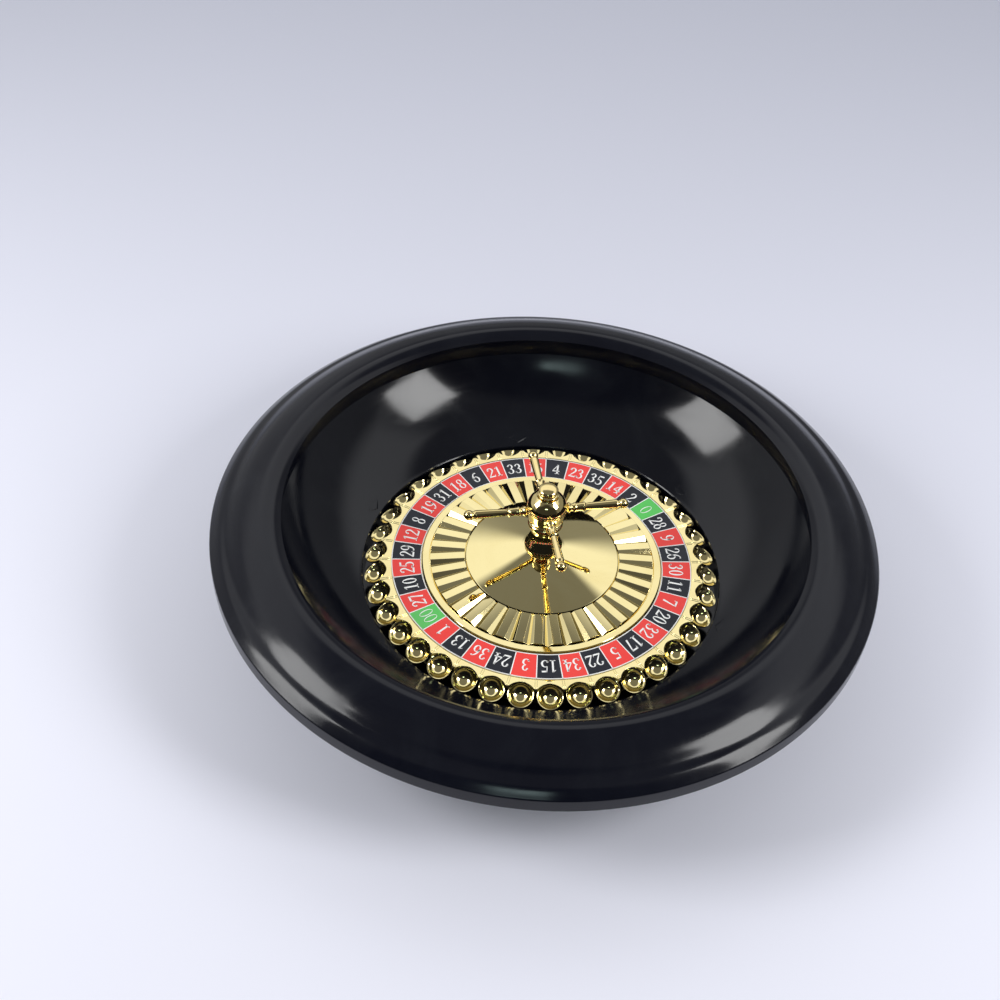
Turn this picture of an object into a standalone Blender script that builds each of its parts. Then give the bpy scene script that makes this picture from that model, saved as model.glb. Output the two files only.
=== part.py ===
"""Tabletop roulette wheel: a black plastic bowl with a gold rotor that spins on a ball bearing.

Frame: metres, +Z up. The origin is on the table, on the spindle's axis, under the rubber feet.
"""
import math

import bmesh
import bpy
from mathutils import Matrix, Vector

MM = 0.001
GAP = 0.3                       # clearance left between touching pieces, mm

# Overall size, mm
RIM_RADIUS = 203.0              # sixteen-inch class wheel
RIM_EDGE_HEIGHT = 70.8          # sharp edge where the rim's roll meets its skirt
SKIRT_BOTTOM = 62.0
LIP_RADIUS = 160.0              # inner lip over the ball track
LIP_HEIGHT = 83.2
SHELL = 2.8                     # moulded wall thickness

# Bowl, mm
TRACK_RADIUS = 162.4            # foot of the near-vertical track wall
TRACK_FOOT = 69.5
RECESS_RADIUS = 112.7           # edge of the well that the rotor sits in
RECESS_EDGE = 28.3
WELL_FLOOR = 19.8
FLOOR_SLOPE = math.radians(22.3)  # at the well's edge
TRACK_SLOPE = math.radians(57)  # at the foot of the track wall
BOSS_RADIUS = 15.0

# Rotor, mm
BAND_HEIGHT = 34.0              # top of the number ring
BAND_OUTER = 94.6
BAND_INNER = 75.8
POCKET_COUNT = 38
POCKET_START = math.radians(-83)
ROTOR_RADIUS = 111.2
LAND_EDGE = 102.4               # where the flat land turns down between the pockets
LAND_HEIGHT = 33.7
ROTOR_EDGE_HEIGHT = 26.8
CUP_RADIUS = 7.6
CUP_MIDDLE = 105.7              # radius of the circle of pocket centres
CUP_HEIGHT = 32.3
MOUTH_TILT = math.radians(28)   # the pockets' mouths tip outwards
CONE_RADIUS = 48.0
CONE_FOOT = 38.6
CONE_TOP = 48.2
FLUTE_OUTER = 70.2
FLUTE_INNER = 48.7
FLUTE_DEPTH = 1.3

# Turret, mm
ARM_HEIGHT = 79.6
ARM_REACH = 51.0
ARM_START = math.radians(14.2)
BULB_RADIUS = 12.4
ARM_SOCKET = 2.5

# Bearing, mm
BEARING_MIDDLE = 25.0
BALL_COUNT = 7
BALL_RADIUS = 1.4
BALL_CIRCLE = 6.3

FOOT_COUNT = 4
FOOT_CIRCLE = 128.0


def clear_objects():
    for item in list(bpy.data.objects):
        bpy.data.objects.remove(item, do_unlink=True)


def plain_material(name, colour, roughness, metallic=0.0):
    material = bpy.data.materials.new(name)
    material.use_nodes = True
    shader = material.node_tree.nodes["Principled BSDF"]
    shader.inputs["Base Color"].default_value = (*colour, 1.0)
    shader.inputs["Roughness"].default_value = roughness
    shader.inputs["Metallic"].default_value = metallic
    return material


def arc(centre_r, centre_z, radius, start, end, steps):
    """Points (r, z) on an arc, angles in degrees from +r towards +z."""
    points = []
    for step in range(steps + 1):
        angle = math.radians(start + (end - start) * step / steps)
        points.append((centre_r + radius * math.cos(angle), centre_z + radius * math.sin(angle)))
    return points


def smooth_through(points, steps):
    """A smooth curve that passes through every point given."""
    padded = [points[0]] + points + [points[-1]]
    curve = []
    for index in range(1, len(padded) - 2):
        before, start, end, after = (Vector(padded[index + shift]) for shift in (-1, 0, 1, 2))
        for step in range(steps):
            t = step / steps
            curve.append(tuple(0.5 * (2 * start + (end - before) * t
                                      + (2 * before - 5 * start + 4 * end - after) * t ** 2
                                      + (3 * start - before - 3 * end + after) * t ** 3)))
    curve.append(points[-1])
    return curve


def finish_mesh(name, mesh_data, material, parent=None, sharp=40):
    """Turns a bmesh in millimetres into a named, smooth-shaded object in metres."""
    bmesh.ops.remove_doubles(mesh_data, verts=mesh_data.verts, dist=0.001)
    bmesh.ops.dissolve_degenerate(mesh_data, edges=mesh_data.edges, dist=0.0005)
    bmesh.ops.recalc_face_normals(mesh_data, faces=mesh_data.faces)
    bmesh.ops.scale(mesh_data, vec=(MM, MM, MM), verts=mesh_data.verts)
    mesh = bpy.data.meshes.new(name)
    mesh_data.to_mesh(mesh)
    mesh_data.free()
    mesh.shade_smooth()
    mesh.set_sharp_from_angle(angle=math.radians(sharp))
    mesh.materials.append(material)
    item = bpy.data.objects.new(name, mesh)
    bpy.context.scene.collection.objects.link(item)
    item.parent = parent
    return item


def turned_bmesh(profile, segments, phase=0.0):
    """Spins an outline of (r, z) points about the axis. Outlines clear of the axis are closed."""
    mesh_data = bmesh.new()
    touches_axis = any(radius < 1e-6 for radius, _ in profile)
    ring = [mesh_data.verts.new((radius * math.cos(phase), radius * math.sin(phase), height))
            for radius, height in profile]
    edges = [mesh_data.edges.new(pair) for pair in zip(ring, ring[1:])]
    if not touches_axis:
        edges.append(mesh_data.edges.new((ring[-1], ring[0])))
    bmesh.ops.spin(mesh_data, geom=ring + edges, cent=(0, 0, 0), axis=(0, 0, 1),
                   angle=math.tau, steps=segments, use_merge=True)
    return mesh_data


def turned(name, profile, segments, material, parent=None, phase=0.0):
    return finish_mesh(name, turned_bmesh(profile, segments, phase), material, parent)


def cut_with(item, cutter_mesh, name):
    """Takes a hidden cutter, given as a bmesh in millimetres, out of an object."""
    bmesh.ops.recalc_face_normals(cutter_mesh, faces=cutter_mesh.faces)
    bmesh.ops.scale(cutter_mesh, vec=(MM, MM, MM), verts=cutter_mesh.verts)
    mesh = bpy.data.meshes.new(name)
    cutter_mesh.to_mesh(mesh)
    cutter_mesh.free()
    cutter = bpy.data.objects.new(name, mesh)
    bpy.context.scene.collection.objects.link(cutter)
    cutter.hide_render = True
    cutter.display_type = 'WIRE'
    modifier = item.modifiers.new(name, 'BOOLEAN')
    modifier.operation = 'DIFFERENCE'
    modifier.solver = 'EXACT'
    modifier.object = cutter


def around(count, start=0.0):
    return [start + math.tau * index / count for index in range(count)]


def on_circle(radius, angle, height):
    return Vector((radius * math.cos(angle), radius * math.sin(angle), height))


def build_rim(plastic):
    """Rolled rim ring: an undercut track wall, two soft rolls and a short vertical skirt."""
    top = smooth_through([(LIP_RADIUS, LIP_HEIGHT), (164.0, 85.9), (169.5, 86.9), (176.5, 84.6),
                          (183.0, 81.9), (190.5, 79.7), (197.5, 75.2),
                          (RIM_RADIUS, RIM_EDGE_HEIGHT)], 2)
    inner_skirt = RIM_RADIUS - SHELL
    under = [(inner_skirt, SKIRT_BOTTOM), (inner_skirt, RIM_EDGE_HEIGHT - 1.0), (190.0, 76.3),
             (170.0, 83.6), (164.8, 81.6), (TRACK_RADIUS + SHELL, TRACK_FOOT + GAP)]
    outline = top + [(RIM_RADIUS, SKIRT_BOTTOM)] + under + [(TRACK_RADIUS, TRACK_FOOT + GAP)]
    turned("rim_ring", outline, 56, plastic)


def build_bowl(plastic):
    """Bowl moulding: track curve, sloping floor, rotor well with a boss, and an outer flange."""
    curve = (TRACK_RADIUS - RECESS_RADIUS) / (math.sin(TRACK_SLOPE) - math.sin(FLOOR_SLOPE))
    curve_r = TRACK_RADIUS - curve * math.sin(TRACK_SLOPE)
    curve_z = RECESS_EDGE + curve * math.cos(FLOOR_SLOPE)
    inside = arc(curve_r, curve_z, curve, math.degrees(FLOOR_SLOPE) - 90,
                 math.degrees(TRACK_SLOPE) - 90, 6)[1:]
    outside = arc(curve_r, curve_z, curve + SHELL, -35, -66, 4)
    outline = [(3.5, 20.4), (BOSS_RADIUS - 6, 20.4), (BOSS_RADIUS, WELL_FLOOR),
               (RECESS_RADIUS, WELL_FLOOR), (RECESS_RADIUS, RECESS_EDGE)]
    outline += inside
    outline += [(188.0, TRACK_FOOT), (188.0, TRACK_FOOT - SHELL), (167.0, TRACK_FOOT - SHELL)]
    outline += outside
    outline += [(RECESS_RADIUS + SHELL, RECESS_EDGE - 2.0), (RECESS_RADIUS + SHELL, 17.2),
                (BOSS_RADIUS, 17.2), (BOSS_RADIUS, 12.0), (3.5, 12.0)]
    turned("bowl", outline, 56, plastic)


def build_base(plastic, rubber, steel):
    """Bottom pan that carries the bowl, with rubber feet screwed to its flat ring."""
    outline = [(176.0, 66.4), (188.0, 66.4), (188.0, 64.0), (179.0, 64.0), (152.0, 4.0),
               (148.0, 2.0), (20.0, 2.0), (20.0, 16.9), (24.0, 16.9), (24.0, 4.6),
               (146.8, 4.6), (149.6, 6.0)]
    pan = turned("base_pan", outline, 40, plastic)
    holes = bmesh.new()
    for angle in around(FOOT_COUNT, math.pi / 4):
        place = Matrix.Translation(on_circle(FOOT_CIRCLE, angle, 3.3))
        bmesh.ops.create_cone(holes, cap_ends=True, segments=8, radius1=2.1, radius2=2.1,
                              depth=6.0, matrix=place)
    cut_with(pan, holes, "foot_screw_holes")
    foot_outline = [(4.3, 0.0), (7.8, 0.0), (8.5, 0.6), (8.5, 2.0 - GAP), (2.1, 2.0 - GAP),
                    (2.1, 1.3), (4.3, 1.3)]
    screw_outline = [(0.0, 0.2), (3.9, 0.2), (3.9, 1.0), (1.8, 1.0), (1.8, 8.4), (0.0, 9.4)]
    for index, angle in enumerate(around(FOOT_COUNT, math.pi / 4), 1):
        foot = turned(f"foot_{index}", foot_outline, 12, rubber)
        foot.location = on_circle(FOOT_CIRCLE, angle, 0) * MM
        screw = turned(f"foot_screw_{index}", screw_outline, 8, steel)
        screw.location = on_circle(FOOT_CIRCLE, angle, 0) * MM


def build_spindle(steel):
    """Fixed steel spindle, clamped through the bowl's boss, with its washer and two nuts."""
    turned("spindle", [(0.0, 6.6), (2.4, 6.6), (3.0, 7.2), (3.0, 33.0), (2.4, 33.6), (0.0, 33.6)],
           16, steel)
    turned("spindle_washer", [(3.3, 20.7), (3.3, 21.7), (5.0, 21.7), (5.0, 20.7)], 20, steel)
    turned("spindle_top_nut", [(3.9, 28.3), (3.9, 32.3), (5.8, 32.3), (5.8, 28.3)], 6, steel)
    turned("spindle_base_nut", [(3.9, 7.6), (3.9, 11.7), (5.8, 11.7), (5.8, 7.6)], 6, steel)


def build_bearing(steel, brass, cage_pivot, rotor_pivot):
    """Ball bearing: grooved inner and outer races, a crown cage and its balls."""
    low = BEARING_MIDDLE - 3.0
    high = BEARING_MIDDLE + 3.0
    inner_groove = [(5.0, BEARING_MIDDLE - 1.3), (4.6, BEARING_MIDDLE), (5.0, BEARING_MIDDLE + 1.3)]
    outer_groove = [(7.6, BEARING_MIDDLE + 1.3), (8.0, BEARING_MIDDLE), (7.6, BEARING_MIDDLE - 1.3)]
    turned("bearing_inner_race", [(3.3, high), (3.3, low), (5.0, low)] + inner_groove
           + [(5.0, high)], 20, steel)
    turned("bearing_outer_race", [(9.5, low), (9.5, high), (7.6, high)] + outer_groove
           + [(7.6, low)], 20, steel, rotor_pivot)
    cage = turned("bearing_cage", [(5.4, BEARING_MIDDLE - 0.7), (7.2, BEARING_MIDDLE - 0.7),
                                   (7.2, BEARING_MIDDLE + 2.5), (5.4, BEARING_MIDDLE + 2.5)],
                  28, brass, cage_pivot)
    windows = bmesh.new()
    for angle in around(BALL_COUNT):
        place = Matrix.Translation(on_circle(BALL_CIRCLE, angle, BEARING_MIDDLE))
        bmesh.ops.create_uvsphere(windows, u_segments=8, v_segments=6, radius=BALL_RADIUS + GAP,
                                  matrix=place)
    cut_with(cage, windows, "cage_windows")
    for index, angle in enumerate(around(BALL_COUNT), 1):
        ball = bmesh.new()
        bmesh.ops.create_uvsphere(ball, u_segments=10, v_segments=6, radius=BALL_RADIUS)
        item = finish_mesh(f"bearing_ball_{index}", ball, steel, cage_pivot, 180)
        item.location = on_circle(BALL_CIRCLE, angle, BEARING_MIDDLE) * MM


def build_carrier(plastic, steel, pivot):
    """Hub and web under the gold mouldings: it holds the outer race and carries the rotor."""
    outline = [(9.8, 21.4), (14.5, 21.4), (14.5, 26.5), (88.0, 26.5), (88.0, 29.2),
               (72.0, 29.2), (44.0, 31.6), (20.0, 31.6), (14.5, 35.7), (7.4, 35.7),
               (7.4, 28.6), (9.8, 28.6)]
    carrier = turned("rotor_carrier", outline, 40, plastic, pivot)
    holes = bmesh.new()
    for angle in around(4, ARM_START + math.pi / 4):
        place = Matrix.Translation(on_circle(82.0, angle, 28.0))
        bmesh.ops.create_cone(holes, cap_ends=True, segments=8, radius1=1.8, radius2=1.8,
                              depth=8.0, matrix=place)
    cut_with(carrier, holes, "carrier_screw_holes")
    screw_outline = [(0.0, 24.6), (3.2, 24.6), (3.2, 26.2), (1.5, 26.2), (1.5, 31.2), (0.0, 31.6)]
    for index, angle in enumerate(around(4, ARM_START + math.pi / 4), 1):
        screw = turned(f"carrier_screw_{index}", screw_outline, 8, steel, pivot)
        screw.location = on_circle(82.0, angle, 0) * MM


def build_pocket_ring(gold, pivot):
    """Gold ring: shelf for the numbers, flat land and ball pockets in its sloping edge."""
    outline = [(BAND_INNER - GAP, 29.5), (88.3, 29.5), (88.3, 22.6), (ROTOR_RADIUS - 1.0, 22.6),
               (ROTOR_RADIUS, 23.6), (ROTOR_RADIUS, ROTOR_EDGE_HEIGHT), (LAND_EDGE, LAND_HEIGHT),
               (BAND_OUTER + GAP, BAND_HEIGHT), (BAND_OUTER + GAP, BAND_HEIGHT - 1.5),
               (BAND_INNER - GAP, BAND_HEIGHT - 1.5)]
    ring = turned("pocket_ring", outline, 76, gold, pivot, POCKET_START)
    screw_holes = bmesh.new()
    for angle in around(4, ARM_START + math.pi / 4):
        bmesh.ops.create_cone(screw_holes, cap_ends=True, segments=8, radius1=1.8, radius2=1.8,
                              depth=4.0, matrix=Matrix.Translation(on_circle(82.0, angle, 29.9)))
    cut_with(ring, screw_holes, "ring_screw_holes")
    cups = bmesh.new()
    for angle in around(POCKET_COUNT, POCKET_START):
        place = (Matrix.Translation(on_circle(CUP_MIDDLE, angle, CUP_HEIGHT))
                 @ Matrix.Rotation(angle, 4, 'Z') @ Matrix.Rotation(MOUTH_TILT, 4, 'Y'))
        bmesh.ops.create_uvsphere(cups, u_segments=10, v_segments=6, radius=CUP_RADIUS,
                                  matrix=place)
    cut_with(ring, cups, "pocket_cutters")


def build_number_ring(print_colour, pivot):
    """Printed number ring, laid in its shelf."""
    turned("number_ring", [(BAND_INNER, BAND_HEIGHT - 1.2), (BAND_OUTER, BAND_HEIGHT - 1.2),
                           (BAND_OUTER, BAND_HEIGHT), (BAND_INNER, BAND_HEIGHT)],
           76, print_colour, pivot, POCKET_START)


def build_fluted_disc(gold, pivot):
    """Pleated gold disc between the numbers and the cone: raised radial ribs, one per number."""
    steps = 3 * POCKET_COUNT
    outline = [(CONE_RADIUS + GAP, 32.2), (74.9, 30.6), (75.1, 35.2), (FLUTE_OUTER + 0.5, 35.4),
               (FLUTE_OUTER, 36.6), (FLUTE_INNER, 38.4), (CONE_RADIUS + GAP, 38.4)]
    disc = turned_bmesh(outline, steps, POCKET_START - math.tau / steps / 2)
    for vert in disc.verts:
        radius = math.hypot(vert.co.x, vert.co.y)
        step = round((math.atan2(vert.co.y, vert.co.x) - POCKET_START) / math.tau * steps + 0.5)
        on_top = FLUTE_INNER - 0.1 < radius < FLUTE_OUTER + 0.1 and vert.co.z > 36
        if on_top and step % 3 == 2:
            vert.co.z -= FLUTE_DEPTH
    finish_mesh("fluted_disc", disc, gold, pivot, 12)


def build_cone(gold, pivot):
    """Smooth shallow cone that lifts the middle of the rotor up to the turret."""
    turned("centre_cone", [(8.2, 36.0), (8.2, CONE_TOP), (11.5, CONE_TOP), (14.0, 47.4),
                           (CONE_RADIUS, CONE_FOOT), (CONE_RADIUS, CONE_FOOT - 2.6),
                           (20.0, 43.4), (16.5, 43.6), (16.5, 36.0)][::-1], 48, gold, pivot)


def build_turret(gold, pivot):
    """Turned turret: flanged waisted column, round bulb with arm sockets, and a finial."""
    column = [(0.0, 48.5), (11.2, 48.5), (11.8, 49.3), (11.8, 50.5), (11.1, 51.6), (10.2, 54.0),
              (9.0, 57.4), (8.3, 60.5), (8.3, 62.5), (9.2, 65.2), (10.0, 66.7), (10.8, 67.9),
              (10.8, 69.0), (10.0, 70.2), (0.0, 70.9)]
    turned("turret_column", column, 24, gold, pivot)
    bulb = [(0.0, 71.3), (10.2, 71.3), (10.8, 72.2), (10.7, 73.4), (11.3, 76.5), (12.0, 80.6),
            (BULB_RADIUS, 81.2), (BULB_RADIUS, 82.5), (11.9, 84.6), (11.0, 86.8), (9.4, 89.0),
            (7.6, 90.7), (6.4, 91.9), (0.0, 91.9)]
    body = turned("turret_bulb", bulb, 24, gold, pivot)
    sockets = bmesh.new()
    for angle in around(4, ARM_START):
        place = (Matrix.Translation(on_circle(12.0, angle, ARM_HEIGHT))
                 @ Matrix.Rotation(angle, 4, 'Z') @ Matrix.Rotation(math.pi / 2, 4, 'Y'))
        bmesh.ops.create_cone(sockets, cap_ends=True, segments=12, radius1=ARM_SOCKET,
                              radius2=ARM_SOCKET, depth=10.0, matrix=place)
    cut_with(body, sockets, "arm_sockets")
    knob = [(0.0, 92.2), (5.6, 92.2), (6.2, 92.8), (5.4, 93.6), (5.3, 94.2), (6.0, 95.7),
            (6.05, 96.3), (5.2, 97.3), (3.6, 97.95), (0.0, 98.27)]
    turned("turret_finial", knob, 20, gold, pivot)


def build_arms(gold, pivot):
    """Four turned handles: a tenon in the bulb, two collars, a long taper and a ball end."""
    outline = [(0.0, 7.4), (ARM_SOCKET - GAP, 7.4), (ARM_SOCKET - GAP, 12.6), (3.0, 12.9),
               (3.3, 14.0), (2.4, 14.8), (2.4, 16.6), (3.1, 17.2), (2.6, 18.4), (2.6, 22.6),
               (3.1, 23.4), (2.0, 24.4), (2.2, 26.0), (2.9, 44.0), (2.1, 45.0), (3.1, 46.4)]
    outline += arc(0.0, ARM_REACH - 3.2, 3.2, 0, 60, 3) + [(0.0, ARM_REACH)]
    for index, angle in enumerate(around(4, ARM_START), 1):
        arm = turned(f"turret_arm_{index}", outline, 12, gold, pivot)
        arm.location = Vector((0, 0, ARM_HEIGHT)) * MM
        arm.rotation_euler = (0, math.pi / 2, angle)


def build():
    clear_objects()
    plastic = plain_material("black_abs", (0.012, 0.013, 0.018), 0.22)
    rubber = plain_material("foot_rubber", (0.03, 0.03, 0.03), 0.8)
    gold = plain_material("gold_metallised", (0.83, 0.66, 0.27), 0.12, 1.0)
    steel = plain_material("steel", (0.6, 0.6, 0.6), 0.25, 1.0)
    brass = plain_material("cage_brass", (0.72, 0.55, 0.25), 0.3, 1.0)
    print_colour = plain_material("number_print", (0.55, 0.06, 0.05), 0.4)
    rotor_pivot = bpy.data.objects.new("rotor_pivot", None)
    cage_pivot = bpy.data.objects.new("cage_pivot", None)
    for pivot in (rotor_pivot, cage_pivot):
        bpy.context.scene.collection.objects.link(pivot)
    build_rim(plastic)
    build_bowl(plastic)
    build_base(plastic, rubber, steel)
    build_spindle(steel)
    build_bearing(steel, brass, cage_pivot, rotor_pivot)
    build_carrier(plastic, steel, rotor_pivot)
    build_pocket_ring(gold, rotor_pivot)
    build_number_ring(print_colour, rotor_pivot)
    build_fluted_disc(gold, rotor_pivot)
    build_cone(gold, rotor_pivot)
    build_turret(gold, rotor_pivot)
    build_arms(gold, rotor_pivot)


build()
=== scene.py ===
"""A sixteen-inch tabletop roulette wheel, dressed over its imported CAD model."""
import math

import bmesh
import bpy
from mathutils import Matrix, Vector


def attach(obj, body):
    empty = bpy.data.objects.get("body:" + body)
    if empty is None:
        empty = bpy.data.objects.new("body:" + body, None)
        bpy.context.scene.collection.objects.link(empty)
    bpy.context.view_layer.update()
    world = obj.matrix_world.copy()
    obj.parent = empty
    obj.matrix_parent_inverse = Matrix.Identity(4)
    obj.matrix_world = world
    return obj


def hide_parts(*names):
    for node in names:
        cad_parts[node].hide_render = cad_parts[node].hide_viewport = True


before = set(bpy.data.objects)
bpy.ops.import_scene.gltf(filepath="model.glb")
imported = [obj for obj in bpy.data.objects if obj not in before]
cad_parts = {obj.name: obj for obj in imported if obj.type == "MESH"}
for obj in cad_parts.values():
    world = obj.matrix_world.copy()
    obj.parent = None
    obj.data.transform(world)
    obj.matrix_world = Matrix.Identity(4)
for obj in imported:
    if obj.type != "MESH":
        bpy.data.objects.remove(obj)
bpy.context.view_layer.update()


# Base pan. A black ABS moulding that closes the wheel from below and stands it on its feet.
# It is a plain dish with a flat ring for the feet, a steep outer wall and a rim flange.
MM = 0.001


def start_outline(points):
    """A bmesh that holds an outline of (radius, height) points, ready to turn."""
    piece = bmesh.new()
    verts = [piece.verts.new((radius, 0.0, height)) for radius, height in points]
    for pair in zip(verts, verts[1:]):
        piece.edges.new(pair)
    if min(radius for radius, _ in points) > 1e-6:
        piece.edges.new((verts[-1], verts[0]))
    return piece


def turn(points, segments, sweep=math.tau):
    """Turns an outline about the upright axis, as a lathe or a round mould would."""
    piece = start_outline(points)
    whole = abs(sweep - math.tau) < 1e-9
    bmesh.ops.spin(piece, geom=piece.verts[:] + piece.edges[:], cent=(0, 0, 0), axis=(0, 0, 1),
                   angle=sweep, steps=segments, use_merge=whole)
    bmesh.ops.remove_doubles(piece, verts=piece.verts, dist=0.0005)
    bmesh.ops.recalc_face_normals(piece, faces=piece.faces)
    return piece


def ease_edges(piece, width, angle=28, segments=3):
    """Rounds every edge that turns by more than an angle, as a mould's own radius does."""
    turned = [edge for edge in piece.edges
              if len(edge.link_faces) == 2 and edge.calc_face_angle() > math.radians(angle)]
    bmesh.ops.bevel(piece, geom=turned, offset=width, offset_type='OFFSET', segments=segments,
                    profile=0.5, affect='EDGES', clamp_overlap=True, material=-1)


def curve_through(points, steps):
    """A smooth outline that passes through every point given."""
    padded = [points[0]] + points + [points[-1]]
    curve = []
    for index in range(1, len(padded) - 2):
        a, b, c, d = (Vector(padded[index + shift]) for shift in (-1, 0, 1, 2))
        for step in range(steps):
            t = step / steps
            curve.append(tuple(0.5 * (2 * b + (c - a) * t + (2 * a - 5 * b + 4 * c - d) * t ** 2
                                      + (3 * b - a - 3 * c + d) * t ** 3)))
    return curve + [points[-1]]


def arc(radius_at, height_at, size, start, end, steps):
    """Outline points along an arc, in degrees from outwards towards up."""
    turns = [math.radians(start + (end - start) * step / steps) for step in range(steps + 1)]
    return [(radius_at + size * math.cos(a), height_at + size * math.sin(a)) for a in turns]


def fit_piece(piece, name, body, finishes, stands_for=(), sharp=38):
    """Makes a finished bmesh, in millimetres, into a piece that rides on its body."""
    bmesh.ops.scale(piece, vec=(MM, MM, MM), verts=piece.verts)
    mesh = bpy.data.meshes.new(name)
    piece.to_mesh(mesh)
    piece.free()
    mesh.shade_smooth()
    mesh.set_sharp_from_angle(angle=math.radians(sharp))
    for finish in finishes:
        mesh.materials.append(finish)
    item = bpy.data.objects.new(name, mesh)
    bpy.context.scene.collection.objects.link(item)
    true_faces = item.modifiers.new("true_faces", 'WEIGHTED_NORMAL')
    true_faces.weight = 100
    true_faces.keep_sharp = True
    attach(item, body)
    if stands_for:
        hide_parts(*stands_for)


def merge_into(whole, piece):
    """Adds one bmesh to another, and lets go of the one that was added."""
    kept = bpy.data.meshes.new("kept")
    piece.to_mesh(kept)
    piece.free()
    whole.from_mesh(kept)
    bpy.data.meshes.remove(kept)


def group_node(tree, kind, place, **values):
    """Adds a node and sets its plain settings and unlinked inputs."""
    node = tree.nodes.new(kind)
    node.location = place
    for key, value in values.items():
        if hasattr(node, key):
            setattr(node, key, value)
        else:
            node.inputs[key.replace("_", " ")].default_value = value
    return node


def build_handling_marks():
    """Node group: wiping rings around the axis, smudges and dust on any moulded piece."""
    tree = bpy.data.node_groups.new("handling_marks", 'ShaderNodeTree')
    for name, kind, start in (("Ring Scale", 'NodeSocketFloat', 900.0),
                              ("Smudge Scale", 'NodeSocketFloat', 22.0),
                              ("Dust Scale", 'NodeSocketFloat', 1400.0)):
        socket = tree.interface.new_socket(name, in_out='INPUT', socket_type=kind)
        socket.default_value = start
    for name in ("Rings", "Smudges", "Dust", "Waviness"):
        tree.interface.new_socket(name, in_out='OUTPUT', socket_type='NodeSocketFloat')
    links = tree.links
    inputs = group_node(tree, 'NodeGroupInput', (-900, 0))
    outputs = group_node(tree, 'NodeGroupOutput', (900, 0))
    place = group_node(tree, 'ShaderNodeTexCoord', (-900, 300))
    split = group_node(tree, 'ShaderNodeSeparateXYZ', (-700, 300))
    links.new(place.outputs["Object"], split.inputs[0])
    flat = group_node(tree, 'ShaderNodeCombineXYZ', (-500, 400))
    links.new(split.outputs["X"], flat.inputs["X"])
    links.new(split.outputs["Y"], flat.inputs["Y"])
    radius = group_node(tree, 'ShaderNodeVectorMath', (-300, 400), operation='LENGTH')
    links.new(flat.outputs[0], radius.inputs[0])
    around = group_node(tree, 'ShaderNodeMath', (-500, 200), operation='ARCTAN2')
    links.new(split.outputs["Y"], around.inputs[0])
    links.new(split.outputs["X"], around.inputs[1])
    slow = group_node(tree, 'ShaderNodeMath', (-300, 200), operation='MULTIPLY')
    links.new(around.outputs[0], slow.inputs[0])
    slow.inputs[1].default_value = 0.004
    polar = group_node(tree, 'ShaderNodeCombineXYZ', (-100, 300))
    links.new(radius.outputs["Value"], polar.inputs["X"])
    links.new(slow.outputs[0], polar.inputs["Y"])
    links.new(split.outputs["Z"], polar.inputs["Z"])
    rings = group_node(tree, 'ShaderNodeTexNoise', (150, 300), Detail=3.0, Roughness=0.6)
    links.new(polar.outputs[0], rings.inputs["Vector"])
    links.new(inputs.outputs["Ring Scale"], rings.inputs["Scale"])
    ring_mask = group_node(tree, 'ShaderNodeMapRange', (400, 300), From_Min=0.55, From_Max=0.8)
    links.new(rings.outputs["Fac"], ring_mask.inputs["Value"])
    links.new(ring_mask.outputs[0], outputs.inputs["Rings"])
    smudges = group_node(tree, 'ShaderNodeTexNoise', (150, 0), Detail=5.0, Roughness=0.62,
                         Distortion=0.8)
    links.new(place.outputs["Object"], smudges.inputs["Vector"])
    links.new(inputs.outputs["Smudge Scale"], smudges.inputs["Scale"])
    smudge_mask = group_node(tree, 'ShaderNodeMapRange', (400, 0), From_Min=0.42, From_Max=0.72)
    links.new(smudges.outputs["Fac"], smudge_mask.inputs["Value"])
    links.new(smudge_mask.outputs[0], outputs.inputs["Smudges"])
    dust = group_node(tree, 'ShaderNodeTexVoronoi', (150, -300), Randomness=1.0)
    links.new(place.outputs["Object"], dust.inputs["Vector"])
    links.new(inputs.outputs["Dust Scale"], dust.inputs["Scale"])
    specks = group_node(tree, 'ShaderNodeMapRange', (400, -300), From_Min=0.16, From_Max=0.05)
    links.new(dust.outputs["Distance"], specks.inputs["Value"])
    some = group_node(tree, 'ShaderNodeMath', (600, -300), operation='MULTIPLY')
    links.new(specks.outputs[0], some.inputs[0])
    links.new(smudge_mask.outputs[0], some.inputs[1])
    links.new(some.outputs[0], outputs.inputs["Dust"])
    wave = group_node(tree, 'ShaderNodeTexNoise', (150, -600), Scale=70.0, Detail=1.0)
    links.new(place.outputs["Object"], wave.inputs["Vector"])
    links.new(wave.outputs["Fac"], outputs.inputs["Waviness"])
    return tree


handling_marks = build_handling_marks()


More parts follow.
